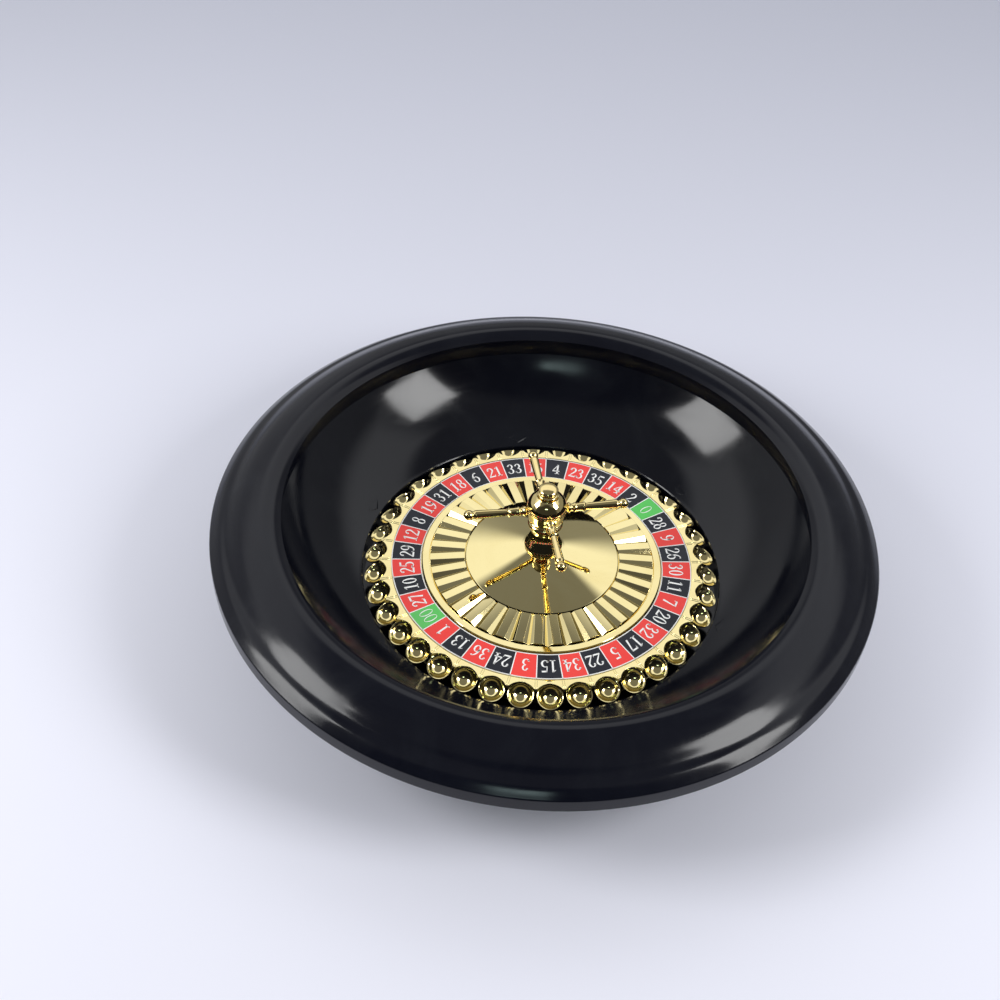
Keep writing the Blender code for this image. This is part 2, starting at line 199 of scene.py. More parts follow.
def moulded_finish(name, tone, worn_tone, rough, rough_worn, metallic=0.0, coat=0.0, specular=0.5,
                   wave=0.02, rings=900.0, dust=0.35):
    """A moulded surface: its colour and gloss vary with wiping rings, smudges and dust."""
    finish = bpy.data.materials.new(name)
    finish.use_nodes = True
    tree = finish.node_tree
    shader = tree.nodes["Principled BSDF"]
    shader.inputs["Metallic"].default_value = metallic
    shader.inputs["Coat Weight"].default_value = coat
    shader.inputs["Coat Roughness"].default_value = 0.04
    shader.inputs["Specular IOR Level"].default_value = specular
    marks = group_node(tree, 'ShaderNodeGroup', (-900, 0), node_tree=handling_marks)
    marks.inputs["Ring Scale"].default_value = rings
    ageing = group_node(tree, 'ShaderNodeMix', (-500, 200), data_type='RGBA')
    ageing.inputs["A"].default_value = (*tone, 1)
    ageing.inputs["B"].default_value = (*worn_tone, 1)
    tree.links.new(marks.outputs["Smudges"], ageing.inputs["Factor"])
    dusty = group_node(tree, 'ShaderNodeMix', (-250, 200), data_type='RGBA')
    dusty.inputs["B"].default_value = (0.36, 0.35, 0.34, 1)
    amount = group_node(tree, 'ShaderNodeMath', (-500, 0), operation='MULTIPLY')
    amount.inputs[1].default_value = dust
    tree.links.new(marks.outputs["Dust"], amount.inputs[0])
    tree.links.new(amount.outputs[0], dusty.inputs["Factor"])
    tree.links.new(ageing.outputs["Result"], dusty.inputs["A"])
    tree.links.new(dusty.outputs["Result"], shader.inputs["Base Color"])
    gloss = group_node(tree, 'ShaderNodeMath', (-500, -200), operation='MAXIMUM')
    tree.links.new(marks.outputs["Rings"], gloss.inputs[0])
    tree.links.new(marks.outputs["Smudges"], gloss.inputs[1])
    spread = group_node(tree, 'ShaderNodeMapRange', (-250, -200), To_Min=rough,
                        To_Max=rough_worn)
    tree.links.new(gloss.outputs[0], spread.inputs["Value"])
    tree.links.new(spread.outputs[0], shader.inputs["Roughness"])
    relief = group_node(tree, 'ShaderNodeMath', (-500, -450), operation='MULTIPLY_ADD')
    relief.inputs[1].default_value = 0.02
    tree.links.new(marks.outputs["Rings"], relief.inputs[0])
    tree.links.new(marks.outputs["Waviness"], relief.inputs[2])
    bump = group_node(tree, 'ShaderNodeBump', (-250, -450), Strength=wave, Distance=0.001)
    tree.links.new(relief.outputs[0], bump.inputs["Height"])
    tree.links.new(bump.outputs["Normal"], shader.inputs["Normal"])
    return finish


pan_black = moulded_finish("pan_black", (0.010, 0.011, 0.015), (0.016, 0.017, 0.022), 0.3, 0.46,
                           wave=0.06)

pan_outline = [(176.0, 66.4), (188.0, 66.4), (188.0, 64.0), (179.0, 64.0), (152.0, 4.0),
               (148.0, 2.0), (20.0, 2.0), (20.0, 16.9), (24.0, 16.9), (24.0, 4.6),
               (146.8, 4.6), (149.6, 6.0)]
pan = turn(pan_outline, 160)
ease_edges(pan, 0.7)
fit_piece(pan, "base_dish", "bowl_body", [pan_black], ["base_pan"])


# Feet. Four soft rubber rings, each held to the pan's flat ring by a pan-head screw.
# The rubber has a turned groove in its sole so that it grips.
FOOT_CIRCLE = 128.0
foot_outline = [(4.3, 0.0), (5.4, 0.0), (5.7, 0.35), (6.3, 0.35), (6.6, 0.0), (7.8, 0.0),
                (8.5, 0.6), (8.5, 1.7), (2.1, 1.7), (2.1, 1.3), (4.3, 1.3)]
screw_outline = [(0.0, 0.2), (2.9, 0.2), (3.7, 0.45), (3.9, 0.8), (3.9, 1.0), (1.8, 1.0),
                 (1.8, 8.4), (0.0, 9.4)]

foot_rubber = moulded_finish("foot_rubber", (0.022, 0.022, 0.023), (0.05, 0.049, 0.047), 0.72,
                             0.9, wave=0.2, dust=0.8)
screw_steel = moulded_finish("screw_steel", (0.62, 0.62, 0.63), (0.45, 0.44, 0.43), 0.22, 0.42,
                             metallic=1.0, wave=0.05, rings=2600.0)

for number in range(1, 5):
    angle = math.pi / 4 + (number - 1) * math.pi / 2
    spot = (FOOT_CIRCLE * math.cos(angle), FOOT_CIRCLE * math.sin(angle), 0.0)
    foot = turn(foot_outline, 48)
    ease_edges(foot, 0.18)
    bmesh.ops.translate(foot, vec=spot, verts=foot.verts)
    fit_piece(foot, f"rubber_foot_{number}", "bowl_body", [foot_rubber],
              [f"foot_{number}"])
    screw = turn(screw_outline, 24)
    ease_edges(screw, 0.12)
    slot_cut = bmesh.ops.create_cube(screw, size=1.0)["verts"]
    bmesh.ops.scale(screw, vec=(4.6, 0.9, 0.3), verts=slot_cut)
    bmesh.ops.translate(screw, vec=(0, 0, 0.2), verts=slot_cut)
    bmesh.ops.translate(screw, vec=spot, verts=screw.verts)
    fit_piece(screw, f"pan_screw_{number}", "bowl_body", [screw_steel],
              [f"foot_screw_{number}"])


# Bowl. One black ABS moulding: a deep round well for the rotor, one long curve that rises from its
# edge to the track wall, and a hidden flange under the rim. The mould leaves it high gloss.
TRACK_RADIUS = 162.4
TRACK_FOOT = 69.5
FLOOR_SLOPE = math.radians(22.3)
TRACK_SLOPE = math.radians(57)
RECESS_RADIUS = 112.7
RECESS_EDGE = 28.3
WELL_FLOOR = 19.8
SHELL = 2.8

bowl_curve = (TRACK_RADIUS - RECESS_RADIUS) / (math.sin(TRACK_SLOPE) - math.sin(FLOOR_SLOPE))
curve_r = TRACK_RADIUS - bowl_curve * math.sin(TRACK_SLOPE)
curve_z = RECESS_EDGE + bowl_curve * math.cos(FLOOR_SLOPE)
bowl_outline = [(3.5, 20.4), (9.0, 20.4), (15.0, WELL_FLOOR), (RECESS_RADIUS, WELL_FLOOR),
                (RECESS_RADIUS, RECESS_EDGE - 0.5), (RECESS_RADIUS + 0.4, RECESS_EDGE)]
bowl_outline += arc(curve_r, curve_z, bowl_curve, -67.4, -33, 30)
bowl_outline += [(188.0, TRACK_FOOT), (188.0, TRACK_FOOT - SHELL), (167.0, TRACK_FOOT - SHELL)]
bowl_outline += arc(curve_r, curve_z, bowl_curve + SHELL, -35, -66, 14)
bowl_outline += [(RECESS_RADIUS + SHELL, RECESS_EDGE - 2.0), (RECESS_RADIUS + SHELL, 17.2),
                 (15.0, 17.2), (15.0, 12.0), (3.5, 12.0)]

gloss_black = moulded_finish("gloss_black", (0.0035, 0.004, 0.0075), (0.006, 0.007, 0.011), 0.09,
                             0.19, specular=0.36, wave=0.012, dust=0.12)

bowl = turn(bowl_outline, 288)
fit_piece(bowl, "bowl_moulding", "bowl_body", [gloss_black], ["bowl"])


# Floor marks. Six shallow framed diamonds pressed into the sloping floor by the same mould,
# sixty degrees apart, each with a small eight-point boss in its middle.
MARK_RADIUS = 118.6
MARK_COUNT = 6
MARK_START = 102     # degrees
MARK_STEP = 60
MARK_SLOPE = math.radians(23.6)

marks = bmesh.new()
for number in range(MARK_COUNT):
    angle = math.radians(MARK_START - MARK_STEP * number)
    height = RECESS_EDGE + (MARK_RADIUS - RECESS_RADIUS) * math.tan(MARK_SLOPE) + 0.02
    seat = (Matrix.Rotation(angle, 4, 'Z') @ Matrix.Translation((MARK_RADIUS, 0, height))
            @ Matrix.Rotation(-MARK_SLOPE, 4, 'Y'))
    plate = bmesh.ops.create_circle(marks, cap_ends=True, cap_tris=False, radius=1.0, segments=4,
                                    matrix=Matrix.Identity(4))["verts"]
    bmesh.ops.scale(marks, vec=(3.6, 6.4, 1.0), verts=plate)
    face = plate[0].link_faces[0]
    ring = bmesh.ops.inset_individual(marks, faces=[face], thickness=0.45, depth=0.14)
    inner = bmesh.ops.inset_individual(marks, faces=[face], thickness=0.5, depth=-0.12)
    facets = bmesh.ops.poke(marks, faces=[face], offset=0.16)
    shaped = {vert for part in (ring["faces"], inner["faces"], facets["faces"])
              for one in part for vert in one.verts} | set(plate)
    bmesh.ops.transform(marks, matrix=seat, verts=list(shaped))
bmesh.ops.recalc_face_normals(marks, faces=marks.faces)
fit_piece(marks, "floor_marks", "bowl_body", [gloss_black], sharp=8)


# Rim. A separate black ring over the bowl's flange: an upright track wall with a rounded lip,
# a long double roll that falls away outwards, and a short plain skirt.
LIP_RADIUS = 160.0
LIP_HEIGHT = 83.2
RIM_RADIUS = 203.0
RIM_EDGE = 70.8
SKIRT_BOTTOM = 62.0

roll = curve_through([(LIP_RADIUS, LIP_HEIGHT), (164.0, 85.9), (169.5, 86.9), (176.5, 85.2),
                      (183.0, 82.8), (187.5, 80.4), (192.5, 77.2), (197.5, 75.0),
                      (RIM_RADIUS - 0.3, RIM_EDGE)], 7)
rim_outline = roll + [(RIM_RADIUS, RIM_EDGE - 0.5), (RIM_RADIUS, SKIRT_BOTTOM + 0.4),
                      (RIM_RADIUS - 0.5, SKIRT_BOTTOM), (200.2, SKIRT_BOTTOM),
                      (200.2, RIM_EDGE - 1.0), (190.0, 76.3), (170.0, 83.6), (164.8, 81.6),
                      (TRACK_RADIUS + SHELL, TRACK_FOOT + 0.3), (TRACK_RADIUS, TRACK_FOOT + 0.3)]

rim_black = moulded_finish("rim_black", (0.0035, 0.004, 0.0085), (0.006, 0.007, 0.012), 0.12,
                           0.22, specular=0.3, wave=0.015, dust=0.12)

rim = turn(rim_outline, 288)
fit_piece(rim, "rolled_rim", "bowl_body", [rim_black], ["rim_ring"])


# Spindle and bearing. A fixed steel pin with a washer and two nuts, and a small crown-cage
# bearing on it. They keep their CAD shapes and take turned steel and brass.
turned_steel = moulded_finish("turned_steel", (0.66, 0.66, 0.67), (0.5, 0.49, 0.48), 0.16, 0.34,
                              metallic=1.0, wave=0.04, rings=5200.0)
cage_brass = moulded_finish("cage_brass", (0.78, 0.58, 0.25), (0.55, 0.4, 0.17), 0.22, 0.4,
                            metallic=1.0, wave=0.04, rings=4200.0)


def dress(node_name, finish):
    """Gives a kept CAD node its better material."""
    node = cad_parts[node_name]
    node.data.materials.clear()
    node.data.materials.append(finish)


for node_name in ("spindle", "spindle_washer", "spindle_top_nut", "spindle_base_nut",
                  "bearing_inner_race", "bearing_outer_race"):
    dress(node_name, turned_steel)
for number in range(1, 8):
    dress(f"bearing_ball_{number}", turned_steel)
dress("bearing_cage", cage_brass)


# Rotor carrier. The black web under the gold mouldings: it holds the bearing's outer race, and
# four screws come up through it into the pocket ring.
carrier_black = moulded_finish("carrier_black", (0.016, 0.016, 0.018), (0.03, 0.03, 0.031), 0.38,
                               0.55, wave=0.08)
dress("rotor_carrier", carrier_black)
for number in range(1, 5):
    dress(f"carrier_screw_{number}", turned_steel)


# Pocket ring. Vacuum-metallised gold over ABS: a narrow flat land, and thirty-eight thin-walled
# round cups hung from its edge, whose mouths tip outwards. A pair of ticks marks every fret.
POCKET_COUNT = 38
POCKET_START = math.radians(-83)
PITCH = math.tau / POCKET_COUNT
BAND_HEIGHT = 34.0
BAND_OUTER = 94.6
BAND_INNER = 75.8
LAND_HEIGHT = 33.9
LAND_REACH = 102.4
CUP_RADIUS = 6.7
CUP_WALL = 1.05
CUP_CURVE = 7.4
LIP_DEPTH = 0.6
CUP_MIDDLE = Vector((104.6, 0.0, 30.45))
MOUTH_TILT = math.radians(28)

gold_plate = moulded_finish("gold_plate", (0.92, 0.79, 0.40), (0.86, 0.72, 0.34), 0.03, 0.08,
                            metallic=1.0, wave=0.005, rings=1500.0, dust=0.25)


def mesh_object(piece, name):
    """Puts a bmesh into the scene as an object of its own."""
    mesh = bpy.data.meshes.new(name)
    piece.to_mesh(mesh)
    piece.free()
    item = bpy.data.objects.new(name, mesh)
    bpy.context.scene.collection.objects.link(item)
    return item


def carve(piece, cutter, operation):
    """Joins a cutter to a closed piece, or takes it out, and returns the closed piece left."""
    body = mesh_object(piece, "body")
    other = mesh_object(cutter, "cutter")
    step = body.modifiers.new("carve", 'BOOLEAN')
    step.operation = operation
    step.solver = 'EXACT'
    step.object = other
    done = body.evaluated_get(bpy.context.evaluated_depsgraph_get()).to_mesh()
    left = bmesh.new()
    left.from_mesh(done)
    bpy.data.objects.remove(body)
    bpy.data.objects.remove(other)
    return left


def cup_form(size, curve, top, flare):
    """A plug for one cup: a round bottom, and a sloping lip in two steps with a flared tube above."""
    edge = math.asin(size / curve)
    lift = curve * math.cos(edge) - LIP_DEPTH
    bottom = arc(0.0, lift, curve, -85, math.degrees(edge) - 90, 12)
    lip = [(size + 0.5, -0.28), (size + 0.54, -0.2), (size + 0.85, -0.06), (size + 0.97, 0.0)]
    plug = turn([(0.0, lift - curve)] + bottom + (lip if flare else [(size, 0.0)])
                + [(size + flare, top), (0.0, top)], 64)
    bmesh.ops.transform(plug, matrix=Matrix.Translation(CUP_MIDDLE)
                        @ Matrix.Rotation(MOUTH_TILT, 4, 'Y'), verts=plug.verts)
    return plug


PLUG_TOP = 6.0       # the cutting plug stands this far above the land
PLUG_FLARE = 3.8     # and is this much wider there

ring_outline = [(75.5, 29.5), (88.3, 29.5), (88.3, 22.6), (103.6, 22.6), (103.9, 22.9),
                (103.2, 32.6), (LAND_REACH, LAND_HEIGHT - 0.1), (LAND_REACH - 0.4, LAND_HEIGHT),
                (95.5, LAND_HEIGHT), (94.9, LAND_HEIGHT - 0.25), (94.9, 32.5), (75.5, 32.5)]
sector = turn(ring_outline, 10, PITCH)
bmesh.ops.holes_fill(sector, edges=[e for e in sector.edges if e.is_boundary], sides=0)
bmesh.ops.rotate(sector, cent=(0, 0, 0), matrix=Matrix.Rotation(-PITCH / 2, 3, 'Z'),
                 verts=sector.verts)
bmesh.ops.recalc_face_normals(sector, faces=sector.faces)
sector = carve(sector, cup_form(CUP_RADIUS + CUP_WALL, CUP_CURVE + CUP_WALL, 0.0, 0.0), 'UNION')
sector = carve(sector, cup_form(CUP_RADIUS, CUP_CURVE, PLUG_TOP, PLUG_FLARE), 'DIFFERENCE')
bmesh.ops.remove_doubles(sector, verts=sector.verts, dist=0.003)
ends = [face for face in sector.faces
        if all(abs(abs(math.atan2(v.co.y, v.co.x)) - PITCH / 2) < 1e-5 for v in face.verts)]
bmesh.ops.delete(sector, geom=ends, context='FACES')
bmesh.ops.rotate(sector, cent=(0, 0, 0), matrix=Matrix.Rotation(POCKET_START, 3, 'Z'),
                 verts=sector.verts)
bmesh.ops.spin(sector, geom=sector.verts[:] + sector.edges[:] + sector.faces[:], cent=(0, 0, 0),
               axis=(0, 0, 1), angle=math.tau - PITCH, steps=POCKET_COUNT - 1, use_duplicate=True)
bmesh.ops.remove_doubles(sector, verts=sector.verts, dist=0.004)
fit_piece(sector, "pocket_ring_plated", "rotor", [gold_plate],
          ["pocket_ring"], sharp=34)

ticks = bmesh.new()
for number in range(POCKET_COUNT):
    angle = POCKET_START + PITCH * (number + 0.5)
    for side in (-0.62, 0.62):
        seat = (Matrix.Rotation(angle, 4, 'Z')
                @ Matrix.Translation((98.7, side, LAND_HEIGHT + 0.06))
                @ Matrix.Diagonal((6.6, 0.34, 0.36, 1.0)))
        bmesh.ops.create_cube(ticks, size=1.0, matrix=seat)
bmesh.ops.bevel(ticks, geom=ticks.edges[:], offset=0.09, offset_type='OFFSET', segments=1,
                profile=0.5, affect='EDGES', clamp_overlap=True, material=-1)
fit_piece(ticks, "fret_ticks", "rotor", [gold_plate])


# Number ring. A flat printed ring laid in the pocket ring's shelf: red, black and green cells
# with fine white lines between them, and white numerals that read from outside the wheel.
NUMBER_ORDER = ("15 3 24 36 13 1 00 27 10 25 29 12 8 19 31 18 6 21 33 16 4 23 35 14 2 0 28 9 26 "
                "30 11 7 20 32 17 5 22 34").split()
RED_NUMBERS = set("9 30 7 32 5 34 3 36 1 27 25 12 19 18 21 16 23 14".split())
CELL_TOP = BAND_HEIGHT - 0.08
LINE_TOP = BAND_HEIGHT - 0.04
INK_TOP = BAND_HEIGHT - 0.01
NUMERAL_HEIGHT = 9.0
NUMERAL_MIDDLE = 84.9


def printed_finish(name, tone, thin_tone, rough=0.16):
    """Screen-printed ink under a clear varnish, a little thinner and greyer in patches."""
    finish = bpy.data.materials.new(name)
    finish.use_nodes = True
    tree = finish.node_tree
    shader = tree.nodes["Principled BSDF"]
    shader.inputs["Coat Weight"].default_value = 0.08
    shader.inputs["Specular IOR Level"].default_value = 0.22
    shader.inputs["Coat Roughness"].default_value = 0.05
    marks = group_node(tree, 'ShaderNodeGroup', (-900, 0), node_tree=handling_marks)
    marks.inputs["Ring Scale"].default_value = 1400.0
    place = group_node(tree, 'ShaderNodeTexCoord', (-900, 400))
    grain = group_node(tree, 'ShaderNodeTexNoise', (-700, 400), Scale=2600.0, Detail=2.0)
    tree.links.new(place.outputs["Object"], grain.inputs["Vector"])
    thin = group_node(tree, 'ShaderNodeMath', (-500, 300), operation='MULTIPLY')
    tree.links.new(grain.outputs["Fac"], thin.inputs[0])
    tree.links.new(marks.outputs["Smudges"], thin.inputs[1])
    ink = group_node(tree, 'ShaderNodeMix', (-300, 200), data_type='RGBA')
    ink.inputs["A"].default_value = (*tone, 1)
    ink.inputs["B"].default_value = (*thin_tone, 1)
    tree.links.new(thin.outputs[0], ink.inputs["Factor"])
    tree.links.new(ink.outputs["Result"], shader.inputs["Base Color"])
    gloss = group_node(tree, 'ShaderNodeMapRange', (-300, -100), To_Min=rough, To_Max=rough + 0.14)
    tree.links.new(marks.outputs["Rings"], gloss.inputs["Value"])
    tree.links.new(gloss.outputs[0], shader.inputs["Roughness"])
    bump = group_node(tree, 'ShaderNodeBump', (-300, -350), Strength=0.05, Distance=0.0002)
    tree.links.new(grain.outputs["Fac"], bump.inputs["Height"])
    tree.links.new(bump.outputs["Normal"], shader.inputs["Normal"])
    return finish


ink_red = printed_finish("ink_red", (0.94, 0.06, 0.05), (0.84, 0.08, 0.07))
ink_black = printed_finish("ink_black", (0.010, 0.012, 0.02), (0.022, 0.025, 0.036))
ink_green = printed_finish("ink_green", (0.11, 0.62, 0.12), (0.16, 0.52, 0.17))
ink_white = printed_finish("ink_white", (0.97, 0.97, 0.96), (0.90, 0.90, 0.89), rough=0.24)
card_cream = printed_finish("card_cream", (0.78, 0.70, 0.46), (0.66, 0.58, 0.36), rough=0.3)

card = turn([(BAND_INNER, BAND_HEIGHT - 1.2), (BAND_OUTER, BAND_HEIGHT - 1.2),
             (BAND_OUTER, BAND_HEIGHT - 0.12), (BAND_INNER, BAND_HEIGHT - 0.12)], 304)
fit_piece(card, "number_card", "rotor", [card_cream], ["number_ring"])

cells = bmesh.new()
lines = bmesh.new()


def printed_sector(piece, inner, outer, start, sweep, steps, low, high, ink=0):
    """A thin raised patch of ink between two radii."""
    near = piece.verts.new((inner * math.cos(start), inner * math.sin(start), low))
    far = piece.verts.new((outer * math.cos(start), outer * math.sin(start), low))
    before = set(piece.faces)
    bmesh.ops.spin(piece, geom=[near, far, piece.edges.new((near, far))], cent=(0, 0, 0),
                   axis=(0, 0, 1), angle=sweep, steps=steps)
    patch = [face for face in piece.faces if face not in before]
    raised = bmesh.ops.extrude_face_region(piece, geom=patch)["geom"]
    bmesh.ops.translate(piece, vec=(0, 0, high - low),
                        verts=[part for part in raised if isinstance(part, bmesh.types.BMVert)])
    for face in piece.faces:
        if face not in before:
            face.material_index = ink


for number, value in enumerate(NUMBER_ORDER):
    middle = POCKET_START - PITCH * number
    ink = 2 if value in ("0", "00") else 0 if value in RED_NUMBERS else 1
    printed_sector(cells, 76.4, 94.1, middle - PITCH / 2, PITCH, 8, BAND_HEIGHT - 0.14, CELL_TOP,
                   ink)
    wide = 0.62 / 85.0
    printed_sector(lines, 76.2, 94.3, middle + PITCH / 2 - wide / 2, wide, 1, CELL_TOP - 0.05,
                   LINE_TOP)
bmesh.ops.recalc_face_normals(cells, faces=cells.faces)
fit_piece(cells, "number_cells", "rotor", [ink_red, ink_black, ink_green])

for inner, outer in ((75.95, 76.55), (93.95, 94.5)):
    border = turn([(inner, CELL_TOP - 0.05), (outer, CELL_TOP - 0.05), (outer, LINE_TOP),
                   (inner, LINE_TOP)], 304)
    merge_into(lines, border)
bmesh.ops.recalc_face_normals(lines, faces=lines.faces)
fit_piece(lines, "cell_lines", "rotor", [ink_white])


def pen_arc(piece, middle, outer, thick, start, end):
    """A curved stroke of a numeral, thick at its sides and thin at its top and foot."""
    a = piece.verts.new((outer[0] - thick[0], 0, 0))
    b = piece.verts.new((outer[0], 0, 0))
    steps = max(4, round(abs(end - start) / 15))
    known = set(piece.verts) - {a, b}
    edge = piece.edges.new((a, b))
    bmesh.ops.rotate(piece, cent=(0, 0, 0), verts=[a, b],
                     matrix=Matrix.Rotation(math.radians(start), 3, 'Z'))
    whole = abs(end - start) > 359
    bmesh.ops.spin(piece, geom=[a, b, edge], cent=(0, 0, 0), axis=(0, 0, 1),
                   angle=math.radians(end - start), steps=steps, use_merge=whole)
    new = [vert for vert in piece.verts if vert not in known]
    limit = outer[0] - thick[0] / 2
    for group, high in (([v for v in new if v.co.length > limit], outer[1] / outer[0]),
                        ([v for v in new if v.co.length <= limit],
                         (outer[1] - thick[1]) / (outer[0] - thick[0]))):
        bmesh.ops.scale(piece, vec=(1, high, 1), verts=group)
    bmesh.ops.translate(piece, vec=(*middle, 0), verts=new)


def pen_bar(piece, start, end, width, end_width=None):
    """A straight stroke of a numeral, which may taper."""
    end_width = width if end_width is None else end_width
    along = (Vector(end) - Vector(start)).to_3d()
    side = along.cross(Vector((0, 0, 1))).normalized()
    a = piece.verts.new(Vector(start).to_3d() + side * width / 2)
    b = piece.verts.new(Vector(start).to_3d() - side * width / 2)
    drawn = bmesh.ops.extrude_edge_only(piece, edges=[piece.edges.new((a, b))])["geom"]
    far = [part for part in drawn if isinstance(part, bmesh.types.BMVert)]
    bmesh.ops.translate(piece, vec=along, verts=far)
    middle = (far[0].co + far[1].co) / 2
    for vert in far:
        vert.co = middle + (vert.co - middle) * end_width / width


def pen_dot(piece, middle, size):
    """A round blob at the end of a stroke."""
    bmesh.ops.create_circle(piece, cap_ends=True, radius=size, segments=10,
                            matrix=Matrix.Translation((*middle, 0)))


def draw_digit(piece, digit, weight=1.0):
    """Draws one upright serif digit, one unit high and about half a unit wide."""
    w = weight
    if digit == "0":
        pen_arc(piece, (0.25, 0.5), (0.24, 0.5), (0.12 * w, 0.05 * w), 0, 360)
    elif digit == "1":
        pen_bar(piece, (0.26, 0.0), (0.26, 1.0), 0.13)
        pen_bar(piece, (0.27, 0.985), (0.08, 0.83), 0.07, 0.04)
        pen_bar(piece, (0.08, 0.03), (0.44, 0.03), 0.06)
    elif digit == "2":
        pen_arc(piece, (0.24, 0.73), (0.24, 0.27), (0.13, 0.06), -25, 165)
        pen_bar(piece, (0.4, 0.63), (0.06, 0.08), 0.11, 0.06)
        pen_bar(piece, (0.01, 0.06), (0.46, 0.06), 0.12)
        pen_bar(piece, (0.46, 0.03), (0.5, 0.22), 0.06, 0.03)
        pen_dot(piece, (0.08, 0.77), 0.07)
    elif digit == "3":
        pen_arc(piece, (0.22, 0.76), (0.21, 0.24), (0.12, 0.055), -95, 155)
        pen_arc(piece, (0.2, 0.27), (0.26, 0.27), (0.13, 0.055), -155, 95)
        pen_dot(piece, (0.07, 0.83), 0.065)
        pen_dot(piece, (0.05, 0.15), 0.07)
    elif digit == "4":
        pen_bar(piece, (0.36, 0.0), (0.36, 1.0), 0.13)
        pen_bar(piece, (0.36, 0.97), (0.02, 0.34), 0.06)
        pen_bar(piece, (0.0, 0.31), (0.52, 0.31), 0.09)
        pen_bar(piece, (0.2, 0.025), (0.52, 0.025), 0.05)
    elif digit == "5":
        pen_bar(piece, (0.1, 0.935), (0.45, 0.95), 0.13)
        pen_bar(piece, (0.12, 0.97), (0.08, 0.5), 0.06)
        pen_arc(piece, (0.2, 0.3), (0.28, 0.3), (0.14, 0.06), -150, 125)
        pen_dot(piece, (0.05, 0.14), 0.07)
    elif digit in "69":
        known = set(piece.verts)
        pen_arc(piece, (0.25, 0.3), (0.24, 0.3), (0.12, 0.055), 0, 360)
        pen_arc(piece, (0.42, 0.36), (0.41, 0.63), (0.12, 0.05), 97, 184)
        pen_dot(piece, (0.4, 0.92), 0.06)
        if digit == "9":
            bmesh.ops.rotate(piece, cent=(0.25, 0.5, 0), matrix=Matrix.Rotation(math.pi, 3, 'Z'),
                             verts=[vert for vert in piece.verts if vert not in known])
    elif digit == "7":
        pen_bar(piece, (0.02, 0.93), (0.49, 0.93), 0.13)
        pen_bar(piece, (0.03, 0.97), (0.0, 0.74), 0.07, 0.03)
        pen_bar(piece, (0.46, 0.93), (0.2, 0.0), 0.07, 0.14)
    elif digit == "8":
        pen_arc(piece, (0.25, 0.755), (0.2, 0.245), (0.1, 0.055), 0, 360)
        pen_arc(piece, (0.25, 0.275), (0.24, 0.275), (0.12, 0.055), 0, 360)


numerals = bmesh.new()
for number, value in enumerate(NUMBER_ORDER):
    label = bmesh.new()
    for place, digit in enumerate(value):
        known = set(label.verts)
        draw_digit(label, digit, 0.55 if value in ("0", "00") else 1.0)
        bmesh.ops.translate(label, vec=(0.56 * place, 0, 0),
                            verts=[vert for vert in label.verts if vert not in known])
    raised = bmesh.ops.extrude_face_region(label, geom=label.faces[:])["geom"]
    bmesh.ops.translate(label, vec=(0, 0, 0.008),
                        verts=[part for part in raised if isinstance(part, bmesh.types.BMVert)])
    width = 0.5 + 0.56 * (len(value) - 1)
    seat = (Matrix.Rotation(POCKET_START - PITCH * number - math.pi / 2, 4, 'Z')
            @ Matrix.Translation((0, NUMERAL_MIDDLE, INK_TOP - 0.008 * NUMERAL_HEIGHT))
            @ Matrix.Scale(NUMERAL_HEIGHT, 4) @ Matrix.Translation((-width / 2, -0.5, 0)))
    bmesh.ops.transform(label, matrix=seat, verts=label.verts)
    bmesh.ops.recalc_face_normals(label, faces=label.faces)
    merge_into(numerals, label)
fit_piece(numerals, "numerals", "rotor", [ink_white])


# Fluted disc. A gold plated ring between the numbers and the cone: a narrow flat border, a dark
# groove, then thirty-eight flat ribs of one width with sharp-bottomed flutes between them.
CONE_RADIUS = 48.0
FLUTE_OUTER = 70.2
FLUTE_INNER = 48.7
FLUTE_DEPTHS = (1.2, 2.2)
RIB_WIDTH = 5.3
RIB_FOOT = 36.6
RIB_TOP = 38.4

border_outline = [(48.3, 32.2), (74.9, 30.6), (75.1, 35.0), (74.9, 35.2), (71.2, 35.25),
                  (70.9, 35.1), (70.6, 33.0), (48.3, 34.9)]
border = turn(border_outline, 304)
fit_piece(border, "fluted_disc_base", "rotor", [gold_plate], ["fluted_disc"])

flutes = bmesh.new()
rib = bmesh.ops.create_grid(flutes, x_segments=1, y_segments=1, size=0.5)["verts"]
for vert in rib:
    outer = vert.co.x > 0
    vert.co = Vector((FLUTE_OUTER if outer else FLUTE_INNER, vert.co.y * RIB_WIDTH,
                      RIB_FOOT if outer else RIB_TOP))
rib_edge = [edge for edge in flutes.edges if all(vert.co.y > 0 for vert in edge.verts)]
wall = bmesh.ops.extrude_edge_only(flutes, edges=rib_edge)["geom"]
for vert in [part for part in wall if isinstance(part, bmesh.types.BMVert)]:
    reach = vert.co.x
    vert.co = Vector((reach * math.cos(PITCH / 2), reach * math.sin(PITCH / 2),
                      vert.co.z - FLUTE_DEPTHS[reach > 60]))
other = [face for face in flutes.faces if face.calc_center_median().y > 0.5]
bmesh.ops.mirror(flutes, geom=other + list({e for f in other for e in f.edges})
                 + list({v for f in other for v in f.verts}), axis='Y', merge_dist=0.0005)
bmesh.ops.remove_doubles(flutes, verts=flutes.verts, dist=0.001)
bmesh.ops.rotate(flutes, cent=(0, 0, 0), matrix=Matrix.Rotation(POCKET_START + PITCH / 2, 3, 'Z'),
                 verts=flutes.verts)
bmesh.ops.spin(flutes, geom=flutes.verts[:] + flutes.edges[:] + flutes.faces[:], cent=(0, 0, 0),
               axis=(0, 0, 1), angle=math.tau - PITCH, steps=POCKET_COUNT - 1, use_duplicate=True)
bmesh.ops.remove_doubles(flutes, verts=flutes.verts, dist=0.004)
